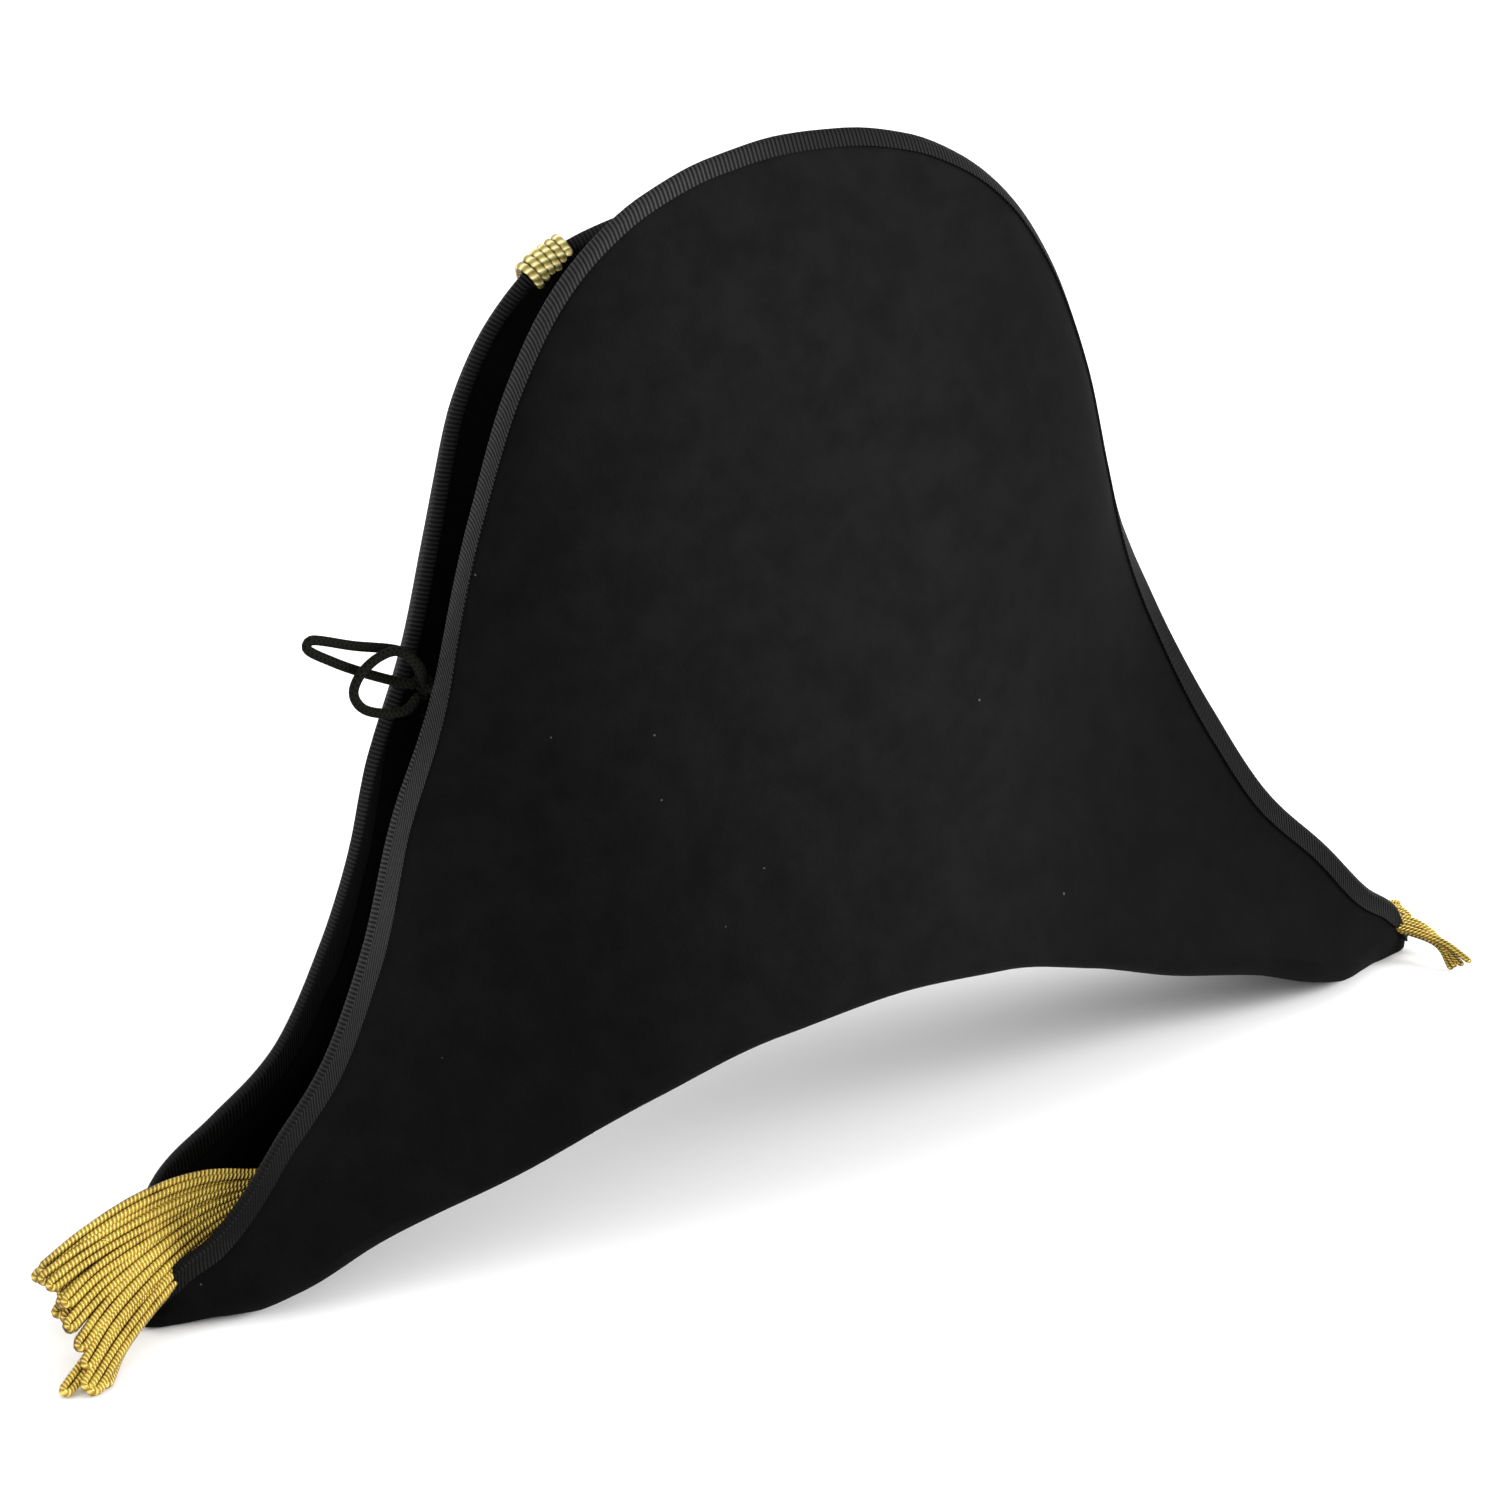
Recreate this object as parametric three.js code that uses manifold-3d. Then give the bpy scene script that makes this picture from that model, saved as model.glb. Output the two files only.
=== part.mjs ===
// Bicorne hat of black felt, with a ribbed binding, a gold loop over the front flap's edge,
// a gold tassel in each tip and a thin black lace that ties the flaps together.
// Millimetres. X runs from tip to tip, the back flap is at -Y and the front flap at +Y.
// Z is up from the surface that the hat stands on. The shapes are made with x = 0 in the middle of the
// felt and then moved by HAT_PLACE, because the left tassel reaches farther out than the right one:
// that puts the origin under the middle of the whole.
import * as THREE from "three";
import { mergeVertices } from "three/addons/utils/BufferGeometryUtils.js";
import Module from "manifold-3d";

const wasm = await Module();
wasm.setup();

// Driving sizes of the felt
const HALF_LENGTH = 225;
const BACK_HEIGHT = 322;
const FRONT_HEIGHT = 299.5;
const ARCH = 60;
const BULGE = 93;
const HALF_GAP = 20;
const FOLD_ROUND = 14;
const FELT = 2.5;
const SEAM_GAP = 0.3;
const HAT_PLACE = 9.5;

// Driving sizes of the head opening and the crown
const OPENING_LENGTH = 204;
const RIM_STRIP = 5;
const CROWN_HEIGHT = 108;
const CROWN_SPACE = 1.5;

// Driving sizes of the binding, the gold loop, the lace and the tassels
const BINDING_WIDTH = 5;
const BINDING_THICKNESS = 0.7;
const LOOP_WIDTH = 17;
const LOOP_THICKNESS = 2.4;
const LOOP_LENGTH = 105;
const LOOP_TUCK = 5.5;
const LOOP_PLACE = 61;
const LOOP_SPACE = 2.6;
const LACE_DIAMETER = 3;
const LACE_REACH = 38;
const KNOT_PLACE = 0.5155 * HALF_LENGTH;
const KNOT_HEIGHT = 174;
const KNOT_DIAMETER = 8;
const LOCK_DIAMETER = 7;
const TASSEL_HEAD = 13;
const TASSEL_INSET = 44;
const TASSEL_REACH = 30;

// Free edges of the two flaps from the middle to the tip.
// along is a share of HALF_LENGTH, back and front are shares of each flap's height.
const EDGE = [
  { along: 0, back: 1, front: 1 },
  { along: 0.1, back: 0.994, front: 0.994 },
  { along: 0.2, back: 0.974, front: 0.983 },
  { along: 0.275, back: 0.944, front: 0.964 },
  { along: 0.345, back: 0.898, front: 0.919 },
  { along: 0.41, back: 0.822, front: 0.842 },
  { along: 0.467, back: 0.708, front: 0.712 },
  { along: 0.525, back: 0.55, front: 0.597 },
  { along: 0.587, back: 0.443, front: 0.506 },
  { along: 0.658, back: 0.326, front: 0.318 },
  { along: 0.738, back: 0.226, front: 0.208 },
  { along: 0.827, back: 0.157, front: 0.158 },
  { along: 0.911, back: 0.089, front: 0.119 },
  { along: 0.969, back: 0.0555, front: 0.066 },
  { along: 0.986, back: 0.034, front: 0.041 },
  { along: 1, back: 0.0165, front: 0.02 },
];

// Height of the fold between the flaps: rise is a share of ARCH, and what is below 0 is flattened.
const FOLD = [
  { along: 0, rise: 1 },
  { along: 0.178, rise: 0.92 },
  { along: 0.356, rise: 0.7 },
  { along: 0.533, rise: 0.415 },
  { along: 0.711, rise: 0.18 },
  { along: 0.82, rise: 0.008 },
  { along: 0.87, rise: -0.045 },
  { along: 0.95, rise: -0.055 },
  { along: 1, rise: -0.03 },
];

// Level sections of a flap: level is a share of the flap's height, gap a share of HALF_GAP and
// bulge a share of BULGE, which is how far the middle stands out beyond the gap.
// fullness tells how the bulge falls to the free edge: 0.5 is an ellipse, 2 a lens with thin ends.
const GIRTH = [
  { level: 0, bulge: 1, gap: 0.38, fullness: 0.9 },
  { level: 0.15, bulge: 0.665, gap: 0.97, fullness: 1.85 },
  { level: 0.3, bulge: 0.545, gap: 0.8, fullness: 1.8 },
  { level: 0.45, bulge: 0.53, gap: 0.43, fullness: 1.15 },
  { level: 0.6, bulge: 0.437, gap: 0.5, fullness: 0.6 },
  { level: 0.75, bulge: 0.295, gap: 0.72, fullness: 0.5 },
  { level: 0.9, bulge: 0.156, gap: 0.82, fullness: 0.5 },
  { level: 1, bulge: 0, gap: 0.82, fullness: 0.5 },
];

// Crown from its foot to its top: rise is a share of CROWN_HEIGHT, spread of the opening's half sizes.
const CROWN = [
  { rise: 0, spread: 1 },
  { rise: 0.25, spread: 0.985 },
  { rise: 0.5, spread: 0.95 },
  { rise: 0.72, spread: 0.88 },
  { rise: 0.88, spread: 0.74 },
  { rise: 0.97, spread: 0.5 },
  { rise: 1, spread: 0.22 },
];

// Locks of a tassel, from the top of the fan down. side is how far the end stands toward the back,
// and height is the end's height, both as shares of TASSEL_REACH. reach is the share of that size
// that it stands out past the tip, and lift its height over the tip's end.
const LEFT_LOCKS = [
  { side: -0.3, height: 0.62, reach: 0.9, lift: 1 },
  { side: -0.05, height: 0.74, reach: 0.96, lift: 1.17 },
  { side: 0.14, height: 0.68, reach: 1, lift: 1.04 },
  { side: 0.34, height: 0.6, reach: 1, lift: 0.95 },
  { side: 0.54, height: 0.48, reach: 1, lift: 0.88 },
  { side: 0.74, height: 0.35, reach: 1, lift: 0.8 },
  { side: 0.92, height: 0.23, reach: 1, lift: 0.79 },
  { side: 1.08, height: 0.14, reach: 1, lift: 0.78 },
  { side: 1.12, height: 0.14, reach: 0.86, lift: 0.78 },
  { side: 0.2, height: 0.3, reach: 0.86, lift: 0.72 },
  { side: 0.5, height: 0.2, reach: 0.84, lift: 0.68 },
];
const RIGHT_LOCKS = [
  { side: -0.1, height: 0.3, reach: 0.2, lift: 0.48 },
  { side: 0.1, height: 0.24, reach: 0.3, lift: 0.48 },
  { side: 0.3, height: 0.2, reach: 0.36, lift: 0.54 },
  { side: 0.5, height: 0.16, reach: 0.36, lift: 0.6 },
];

// Loops of the lace's bow: away from the tip of the knot, up and to the front, as shares of
// LACE_REACH. The first and the last row only give the direction in which the lace leaves the knot.
const LONG_LOOP = [
  { out: 0.3, up: 0.9, side: 0.2 },
  { out: 0.06, up: 0.22, side: 0.07 },
  { out: 0.18, up: 0.325, side: 0.06 },
  { out: 0.57, up: 0.463, side: 0.06 },
  { out: 0.88, up: 0.573, side: 0.06 },
  { out: 0.972, up: 0.58, side: 0.06 },
  { out: 0.93, up: 0.505, side: 0.06 },
  { out: 0.755, up: 0.375, side: 0.06 },
  { out: 0.575, up: 0.265, side: 0.06 },
  { out: 0.28, up: 0.105, side: 0.08 },
  { out: 0.85, up: 0.3, side: 0.25 },
];
const SHORT_LOOP = [
  { out: 0.4, up: 0.75, side: -0.5 },
  { out: 0.14, up: 0.27, side: -0.14 },
  { out: 0.27, up: 0.39, side: -0.08 },
  { out: 0.43, up: 0.37, side: -0.06 },
  { out: 0.6, up: 0.26, side: -0.06 },
  { out: 0.66, up: 0.13, side: -0.06 },
  { out: 0.6, up: 0, side: -0.06 },
  { out: 0.43, up: -0.09, side: -0.06 },
  { out: 0.22, up: -0.11, side: -0.07 },
  { out: 0.85, up: -0.4, side: -0.3 },
];

// Fineness of the meshes
const OPENING_SIDES = 24;
const WING_STATIONS = 18;
const FOLD_ROWS = 3;
const WALL_ROWS = 8;
const ROWS = FOLD_ROWS + WALL_ROWS;
const NUDGE = 1e-3;

// A smooth curve through one column of a table, which never overshoots its rows.
// It starts flat, because each table starts on the hat's middle or at its foot.
function smooth(rows, key, column, startFlat) {
  const at = rows.map((row) => row[key]);
  const value = rows.map((row) => row[column]);
  const secant = value.slice(1).map((v, i) => (v - value[i]) / (at[i + 1] - at[i]));
  const slope = value.map((v, i) => {
    if (i === 0) return startFlat ? 0 : secant[0];
    if (i === value.length - 1) return secant[i - 1];
    const before = secant[i - 1];
    const after = secant[i];
    return before * after <= 0 ? 0 : (2 * before * after) / (before + after);
  });
  return (x) => {
    const last = at.length - 1;
    if (x <= at[0]) return value[0];
    if (x >= at[last]) return value[last];
    let i = 0;
    while (x > at[i + 1]) i += 1;
    const width = at[i + 1] - at[i];
    const t = (x - at[i]) / width;
    const t2 = t * t;
    const t3 = t2 * t;
    return (
      (2 * t3 - 3 * t2 + 1) * value[i] +
      (t3 - 2 * t2 + t) * width * slope[i] +
      (3 * t2 - 2 * t3) * value[i + 1] +
      (t3 - t2) * width * slope[i + 1]
    );
  };
}

const edgeShare = {
  back: smooth(EDGE, "along", "back", true),
  front: smooth(EDGE, "along", "front", true),
};
const foldShare = smooth(FOLD, "along", "rise", true);
const bulgeShare = smooth(GIRTH, "level", "bulge", false);
const gapShare = smooth(GIRTH, "level", "gap", false);
const fullness = smooth(GIRTH, "level", "fullness", false);
const flapHeight = { back: BACK_HEIGHT, front: FRONT_HEIGHT };
const flapSide = { back: -1, front: 1 };

// Height of a flap's free edge and of the fold at a distance along the hat
const edgeHeight = (flap, x) => flapHeight[flap] * edgeShare[flap](Math.abs(x) / HALF_LENGTH);
const foldHeight = (x) => ARCH * foldShare(Math.abs(x) / HALF_LENGTH);

// How far along the hat a flap's free edge is at a height, found by halving
function edgeReach(flap, z) {
  let near = 0;
  let far = HALF_LENGTH;
  if (edgeHeight(flap, far) >= z) return far;
  for (let i = 0; i < 40; i += 1) {
    const middle = (near + far) / 2;
    if (edgeHeight(flap, middle) > z) near = middle;
    else far = middle;
  }
  return near;
}

// Distance of a flap's outer face from the hat's middle plane
function halfDepth(flap, x, z) {
  const level = z / flapHeight[flap];
  const share = Math.min(Math.abs(x) / Math.max(edgeReach(flap, z), 1), 1);
  const bulge = BULGE * bulgeShare(level) * (1 - share * share) ** fullness(level);
  return HALF_GAP * gapShare(level) + bulge;
}

// The round of the fold: its height at a distance along the hat
const foldRound = (flap, x) => Math.min(FOLD_ROUND, (edgeHeight(flap, x) - foldHeight(x)) / 2);

// Half the opening's width, set by the strip of felt left between it and the fold's side
const OPENING_HALF_LENGTH = OPENING_LENGTH / 2;
const OPENING_HALF_WIDTH = halfDepth("front", 0, foldHeight(0) + FOLD_ROUND) - RIM_STRIP;
const openingWidth = (x) => OPENING_HALF_WIDTH * Math.sqrt(Math.max(0, 1 - (x / OPENING_HALF_LENGTH) ** 2));

// Points of a flap's outer face. turn goes 0 to 1 from under the fold to its side, and then rise
// goes 0 to 1 up to the free edge.
function underFold(flap, x, turn) {
  const round = foldRound(flap, x);
  const side = halfDepth(flap, x, foldHeight(x) + round);
  const start = Math.asin(Math.min(openingWidth(x) / side, 1));
  const angle = start + turn * (Math.PI / 2 - start);
  const z = foldHeight(x) + round * (1 - Math.cos(angle));
  return new THREE.Vector3(x, flapSide[flap] * side * Math.sin(angle), Math.max(z, 0));
}
function onWall(flap, x, rise) {
  const foot = foldHeight(x) + foldRound(flap, x);
  const z = foot + rise * (edgeHeight(flap, x) - foot);
  return new THREE.Vector3(x, flapSide[flap] * halfDepth(flap, x, z), Math.max(z, 0));
}

// The share of the wall's height that the binding covers at a distance along the hat
const coverFound = { back: new Map(), front: new Map() };
function coverShare(flap, x) {
  const known = coverFound[flap].get(x);
  if (known !== undefined) return known;
  const edge = onWall(flap, x, 1);
  const tangent = onWall(flap, x + 1, 1).sub(onWall(flap, x - 1, 1)).normalize();
  let low = 0;
  let high = 0.6;
  for (let i = 0; i < 20; i += 1) {
    const middle = (low + high) / 2;
    const away = onWall(flap, x, 1 - middle).sub(edge).cross(tangent).length();
    if (away < BINDING_WIDTH) low = middle;
    else high = middle;
  }
  coverFound[flap].set(x, low);
  return low;
}

// A point of a flap's outer face by rows: 0 is under the fold and ROWS the free edge. The last row
// is the strip under the binding.
function flapPoint(flap, x, row) {
  if (row <= FOLD_ROWS) return underFold(flap, x, row / FOLD_ROWS);
  const cover = coverShare(flap, x);
  if (row >= ROWS - 1) return onWall(flap, x, 1 - cover * (ROWS - row));
  return onWall(flap, x, ((1 - cover) * (row - FOLD_ROWS)) / (WALL_ROWS - 1));
}

// Unit normal of a flap's outer face, pointing away from the felt
function flapNormal(flap, x, row) {
  const step = 1;
  const x0 = Math.max(-HALF_LENGTH, x - step);
  const x1 = Math.min(HALF_LENGTH, x + step);
  const low = Math.max(0, row - 0.25);
  const high = Math.min(ROWS, row + 0.25);
  const alongX = flapPoint(flap, x1, row).sub(flapPoint(flap, x0, row));
  const acrossIt = flapPoint(flap, x, high).sub(flapPoint(flap, x, low));
  return alongX.cross(acrossIt).multiplyScalar(-flapSide[flap]).normalize();
}

// Stations along the hat: at the corners of the opening, then by equal lengths of the back edge
function stationsAlong() {
  const half = [];
  for (let i = 0; i <= OPENING_SIDES / 4; i += 1) {
    half.push(OPENING_HALF_LENGTH * Math.sin((2 * Math.PI * i) / OPENING_SIDES));
  }
  const fine = 400;
  const reach = HALF_LENGTH - OPENING_HALF_LENGTH;
  const lengths = [0];
  for (let i = 1; i <= fine; i += 1) {
    const a = OPENING_HALF_LENGTH + (reach * (i - 1)) / fine;
    const b = OPENING_HALF_LENGTH + (reach * i) / fine;
    lengths.push(lengths[i - 1] + Math.hypot(b - a, edgeHeight("back", b) - edgeHeight("back", a)));
  }
  for (let k = 1; k <= WING_STATIONS; k += 1) {
    const wanted = (lengths[fine] * k) / WING_STATIONS;
    const i = k === WING_STATIONS ? fine : lengths.findIndex((length) => length >= wanted);
    half.push(OPENING_HALF_LENGTH + (reach * i) / fine);
  }
  return [...half.slice(1).reverse().map((x) => -x), ...half];
}
const STATIONS = stationsAlong();

// Outer and inner grids of a flap, with the normals between them, a line of points for each station.
// Under the fold the inner points follow an arc of their own, so that the tight round never folds over.
function flapGrids(flap) {
  const outer = [];
  const inner = [];
  const normal = [];
  STATIONS.forEach((x) => {
    const open = Math.abs(x) < OPENING_HALF_LENGTH - NUDGE;
    const normals = [];
    const outers = [];
    const inners = [];
    for (let j = 0; j <= ROWS; j += 1) {
      normals.push(flapNormal(flap, x, j));
      outers.push(flapPoint(flap, x, j));
      inners.push(outers[j].clone().addScaledVector(normals[j], -FELT));
    }
    if (!open) outers[0].y = 0;
    inners[0].copy(outers[0]).setZ(outers[0].z + FELT);
    const foot = inners[FOLD_ROWS];
    for (let j = 1; j < FOLD_ROWS; j += 1) {
      const turn = ((j / FOLD_ROWS) * Math.PI) / 2;
      inners[j].x = x + (foot.x - x) * (1 - Math.cos(turn));
      inners[j].y = inners[0].y + (foot.y - inners[0].y) * Math.sin(turn);
      inners[j].z = inners[0].z + (foot.z - inners[0].z) * (1 - Math.cos(turn));
    }
    outer.push(outers);
    inner.push(inners);
    normal.push(normals);
  });
  return { outer, inner, normal };
}
const GRIDS = { back: flapGrids("back"), front: flapGrids("front") };

// A mesh's triangles, gathered face by face
class Faces {
  constructor() {
    this.corners = [];
  }
  triangle(a, b, c) {
    [a, b, c].forEach((p) => this.corners.push(p.x, p.y, p.z));
  }
  quad(a, b, c, d) {
    this.triangle(a, b, c);
    this.triangle(a, c, d);
  }
  grid(rows, turned) {
    for (let i = 0; i + 1 < rows.length; i += 1) {
      for (let j = 0; j + 1 < rows[i].length; j += 1) {
        const corners = [rows[i][j], rows[i + 1][j], rows[i + 1][j + 1], rows[i][j + 1]];
        if (turned) this.quad(corners[0], corners[3], corners[2], corners[1]);
        else this.quad(...corners);
      }
    }
  }
  geometry() {
    const made = new THREE.BufferGeometry();
    made.setAttribute("position", new THREE.Float32BufferAttribute(this.corners, 3));
    return made;
  }
}

// Joining closed solids, for pieces that are fused
function solidOf(geometry) {
  const bare = geometry.clone();
  bare.deleteAttribute("normal");
  bare.deleteAttribute("uv");
  const merged = mergeVertices(bare, NUDGE);
  const vertProperties = new Float32Array(merged.attributes.position.array);
  const triVerts = new Uint32Array(merged.index.array);
  return new wasm.Manifold(new wasm.Mesh({ numProp: 3, vertProperties, triVerts }));
}
function geometryOf(solid) {
  const mesh = solid.getMesh();
  const made = new THREE.BufferGeometry();
  made.setAttribute("position", new THREE.BufferAttribute(mesh.vertProperties, 3));
  made.setIndex(new THREE.BufferAttribute(mesh.triVerts, 1));
  return made;
}
const fused = (geometries) =>
  geometryOf(geometries.map(solidOf).reduce((whole, piece) => whole.add(piece)));

// The felt brim: both flaps and the fold between them, with the head opening left open
function brimGeometry() {
  const faces = new Faces();
  const last = STATIONS.length - 1;
  const isOpen = (i) => Math.abs(STATIONS[i] + STATIONS[i + 1]) / 2 < OPENING_HALF_LENGTH;
  ["back", "front"].forEach((flap) => {
    const { outer, inner } = GRIDS[flap];
    const turned = flap === "front";
    faces.grid(outer, turned);
    faces.grid(inner, !turned);
    // The free edge, the rim of the opening, and the two ends
    faces.grid([outer.map((row) => row[ROWS]), inner.map((row) => row[ROWS])], !turned);
    for (let i = 0; i < last; i += 1) {
      if (!isOpen(i)) continue;
      const corners = [outer[i][0], outer[i + 1][0], inner[i + 1][0], inner[i][0]];
      if (!turned) corners.reverse();
      faces.quad(...corners);
    }
    faces.grid([outer[0], inner[0]], !turned);
    faces.grid([outer[last], inner[last]], turned);
  });
  return faces.geometry();
}

// The crown stands in the opening with its foot flush with the rim, and stays clear of the flaps
const crownSpread = smooth(CROWN, "rise", "spread", false);
function crownPoint(rise, angle) {
  const spread = crownSpread(rise);
  const reach = OPENING_HALF_LENGTH - SEAM_GAP;
  const x = reach * spread * Math.cos(angle);
  const y = (OPENING_HALF_WIDTH - SEAM_GAP) * spread * Math.sin(angle);
  const flap = y < 0 ? "back" : "front";
  const rim = underFold(flap, reach * Math.cos(angle), 0).z;
  const top = foldHeight(0) + CROWN_HEIGHT;
  const z = rim + rise * (top - rim);
  const room = halfDepth(flap, x, z) - FELT - CROWN_SPACE;
  const limit = rise === 0 ? Math.abs(y) : Math.min(Math.abs(y), Math.max(room, 0));
  return new THREE.Vector3(x, Math.sign(y) * limit, z);
}
function crownGeometry() {
  const faces = new Faces();
  const outer = [];
  const inner = [];
  const angles = [];
  for (let k = 0; k <= OPENING_SIDES; k += 1) angles.push((2 * Math.PI * (k % OPENING_SIDES)) / OPENING_SIDES);
  CROWN.forEach(({ rise }) => {
    const outerRow = [];
    const innerRow = [];
    angles.forEach((angle) => {
      const point = crownPoint(rise, angle);
      const below = Math.max(0, rise - NUDGE * 10);
      const above = Math.min(1, rise + NUDGE * 10);
      const upward = crownPoint(above, angle).sub(crownPoint(below, angle));
      const around = crownPoint(rise, angle + NUDGE * 10).sub(crownPoint(rise, angle - NUDGE * 10));
      const normal = around.cross(upward).normalize();
      const inside = point.clone().addScaledVector(normal, -FELT);
      if (rise === 0) inside.z = point.z;
      outerRow.push(point);
      innerRow.push(inside);
    });
    outer.push(outerRow);
    inner.push(innerRow);
  });
  const top = new THREE.Vector3(0, 0, foldHeight(0) + CROWN_HEIGHT + 1);
  const topInside = top.clone().setZ(top.z - FELT);
  const topRow = (point) => angles.map(() => point);
  faces.grid(outer, true);
  faces.grid(inner, false);
  for (let k = 0; k < OPENING_SIDES; k += 1) {
    const high = outer[outer.length - 1];
    const highInside = inner[inner.length - 1];
    faces.triangle(high[k], high[k + 1], topRow(top)[k]);
    faces.triangle(highInside[k + 1], highInside[k], topRow(topInside)[k]);
    faces.quad(outer[0][k + 1], outer[0][k], inner[0][k], inner[0][k + 1]);
  }
  return faces.geometry();
}

// The ribbed binding is folded over a flap's free edge and follows the felt's last strip
function bindingGeometry(flap) {
  const { outer, inner, normal } = GRIDS[flap];
  const thick = SEAM_GAP + BINDING_THICKNESS;
  const sections = STATIONS.map((x, i) => {
    const edge = outer[i][ROWS];
    const before = outer[Math.max(i - 1, 0)][ROWS];
    const after = outer[Math.min(i + 1, STATIONS.length - 1)][ROWS];
    const tangent = after.clone().sub(before).normalize();
    const out = tangent.cross(normal[i][ROWS]).normalize();
    if (out.dot(outer[i][ROWS - 1].clone().sub(edge)) > 0) out.negate();
    const place = (points, row, side, away) => {
      const point = points[i][row].clone().addScaledVector(normal[i][row], side * away);
      return row === ROWS ? point.addScaledVector(out, away) : point;
    };
    return {
      outside: [place(outer, ROWS - 1, 1, thick), place(outer, ROWS, 1, thick)],
      under: [place(outer, ROWS - 1, 1, SEAM_GAP), place(outer, ROWS, 1, SEAM_GAP)],
      lining: [place(inner, ROWS - 1, -1, SEAM_GAP), place(inner, ROWS, -1, SEAM_GAP)],
      inside: [place(inner, ROWS - 1, -1, thick), place(inner, ROWS, -1, thick)],
    };
  });
  const faces = new Faces();
  const turned = flap === "front";
  const strip = (pick, flip) => faces.grid(sections.map(pick), flip);
  strip((s) => s.outside, turned);
  strip((s) => s.under, !turned);
  strip((s) => s.lining, turned);
  strip((s) => s.inside, !turned);
  strip((s) => [s.outside[1], s.inside[1]], turned);
  strip((s) => [s.under[1], s.lining[1]], !turned);
  strip((s) => [s.outside[0], s.under[0]], !turned);
  strip((s) => [s.inside[0], s.lining[0]], turned);
  [0, sections.length - 1].forEach((i) => {
    const s = sections[i];
    const flip = (i === 0) === turned;
    faces.grid([s.outside, s.under], !flip);
    faces.grid([[s.outside[1], s.inside[1]], [s.under[1], s.lining[1]]], !flip);
    faces.grid([s.lining, s.inside], !flip);
  });
  return faces.geometry();
}

// The gold loop hooks over the front flap's edge: a short leg inside and a long one down the face.
// side goes across the band and down along it from the free edge.
function loopPlace(side, down) {
  const slope = (edgeHeight("front", LOOP_PLACE + 4) - edgeHeight("front", LOOP_PLACE - 4)) / 8;
  const along = new THREE.Vector2(1, -slope).normalize();
  const x = -LOOP_PLACE + side * along.x;
  const z = edgeHeight("front", x) - down * along.x;
  const inward = x + down * along.y;
  return new THREE.Vector3(inward, halfDepth("front", inward, z), z);
}
function loopNormal(side, down) {
  const across = loopPlace(side + 2, down).sub(loopPlace(side - 2, down));
  const downward = loopPlace(side, down + 4).sub(loopPlace(side, down));
  return across.cross(downward).normalize();
}
function loopGeometry() {
  const shares = [-1, -1 / 3, 1 / 3, 1];
  const legs = [
    { down: 1, narrow: 0.45 },
    { down: 0.97, narrow: 0.85 },
    { down: 0.93, narrow: 1 },
    { down: 0.75, narrow: 1 },
    { down: 0.55, narrow: 1 },
    { down: 0.35, narrow: 1 },
    { down: 0.18, narrow: 1 },
    { down: 0.06, narrow: 1 },
  ].map(({ down, narrow }) => ({ down: down * LOOP_LENGTH, narrow, face: 1, over: 0 }));
  const path = [
    ...legs,
    { down: 0, narrow: 1, face: 1, over: 0.6 },
    { down: 0, narrow: 1, face: -1, over: 0.6 },
    { down: LOOP_TUCK / 2, narrow: 1, face: -1, over: 0 },
    { down: LOOP_TUCK, narrow: 1, face: -1, over: 0 },
  ];
  const layer = (away) =>
    path.map(({ down, narrow, face, over }) =>
      shares.map((share) => {
        const side = (share * narrow * LOOP_WIDTH) / 2;
        const point = loopPlace(side, down);
        const normal = loopNormal(side, down);
        const out = loopPlace(side, 0).sub(loopPlace(side, 4)).normalize();
        if (face < 0) point.addScaledVector(normal, -FELT);
        point.addScaledVector(normal, face * away);
        return over > 0 ? point.addScaledVector(out, away) : point;
      }),
    );
  const near = layer(LOOP_SPACE);
  const far = layer(LOOP_SPACE + LOOP_THICKNESS);
  const faces = new Faces();
  const last = shares.length - 1;
  faces.grid(far, false);
  faces.grid(near, true);
  faces.grid([near.map((row) => row[0]), far.map((row) => row[0])], true);
  faces.grid([near.map((row) => row[last]), far.map((row) => row[last])], false);
  faces.grid([near[0], far[0]], false);
  faces.grid([near[path.length - 1], far[path.length - 1]], true);
  return faces.geometry();
}

// A round strand along a curve, with its own radius at each step
function strandGeometry(points, radii, sides) {
  const curve = new THREE.CatmullRomCurve3(points);
  const steps = radii.length - 1;
  const rings = radii.map((radius, k) => {
    const centre = curve.getPoint(k / steps);
    const ahead = curve.getTangent(k / steps);
    const across = new THREE.Vector3(0, 0, 1).cross(ahead).normalize();
    const upward = ahead.clone().cross(across);
    const ring = [];
    for (let s = 0; s <= sides; s += 1) {
      const angle = (2 * Math.PI * (s % sides)) / sides;
      ring.push(
        centre
          .clone()
          .addScaledVector(across, radius * Math.cos(angle))
          .addScaledVector(upward, radius * Math.sin(angle)),
      );
    }
    return ring;
  });
  const faces = new Faces();
  faces.grid(rings, true);
  const first = curve.getPoint(0);
  const end = curve.getPoint(1);
  for (let s = 0; s < sides; s += 1) {
    faces.triangle(rings[0][s + 1], rings[0][s], first);
    faces.triangle(rings[steps][s], rings[steps][s + 1], end);
  }
  return faces.geometry();
}

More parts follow.
